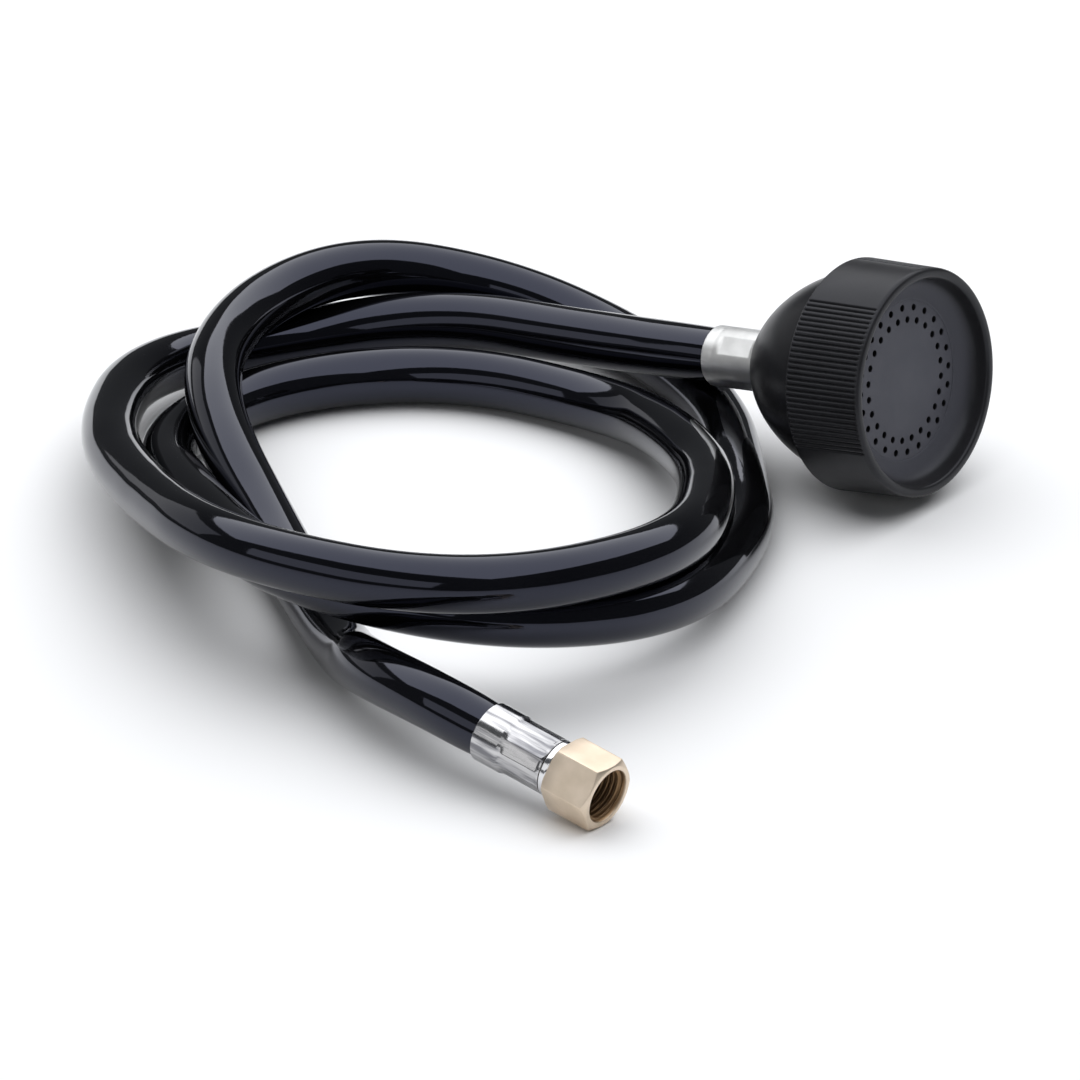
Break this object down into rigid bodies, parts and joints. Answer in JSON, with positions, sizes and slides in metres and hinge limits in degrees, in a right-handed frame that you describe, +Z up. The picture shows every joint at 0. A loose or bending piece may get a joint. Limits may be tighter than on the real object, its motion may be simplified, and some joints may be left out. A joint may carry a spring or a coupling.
{
  "type": "spray hose with rose head",
  "caption": "Flexible glossy hose in loose coils, with a bell-shaped rose spray head at one end and a brass swivel nut at the other.",
  "frame": {"origin": "on the surface that it lies on, under the middle of the spray head's box", "axes": "+X is the way the spray head points, seen from above, +Z is up"},
  "size_m": [0.2288, 0.2301, 0.0589],
  "materials": {
    "black_plastic": "satin",
    "hose_black": "gloss",
    "seal_rubber": "matte",
    "ferrule_steel": "satin",
    "ferrule_chrome": "polished",
    "nut_brass": "satin",
    "tail_brass": "satin",
    "washer_fibre": "matte"
  },
  "bodies": {
    "head": {"bell_body": "black_plastic", "head_stem": "tail_brass", "stem_oring": "seal_rubber", "head_ferrule": "ferrule_steel", "hose": "hose_black", "inlet_ferrule": "ferrule_chrome", "inlet_tail": "tail_brass", "tail_band": "ferrule_chrome", "inlet_washer": "washer_fibre"},
    "face": {"spray_plate": "black_plastic", "plate_gasket": "seal_rubber"},
    "collar": {"grip_collar": "black_plastic"},
    "nut": {"swivel_nut": "nut_brass"}
  },
  "joints": [
    {"name": "plate_lift", "type": "slide", "parent": "head", "child": "face", "axis": [0.987, -0.0483, 0.153], "range_m": [0, 0.0113]},
    {"name": "collar_turn", "type": "hinge", "parent": "face", "child": "collar", "pos_m": [0.01827, -0.00038, 0.0299], "axis": [0.987, -0.0483, 0.153], "range_deg": [0, 1350]},
    {"name": "nut_swivel", "type": "hinge", "parent": "head", "child": "nut", "pos_m": [0.05921, -0.18995, 0.00903], "axis": [0.9824, -0.0687, -0.1736], "continuous": true}
  ],
  "couplings": [
    {"joint": "plate_lift", "follows": "collar_turn", "m_per_rad": 0.000477}
  ]
}
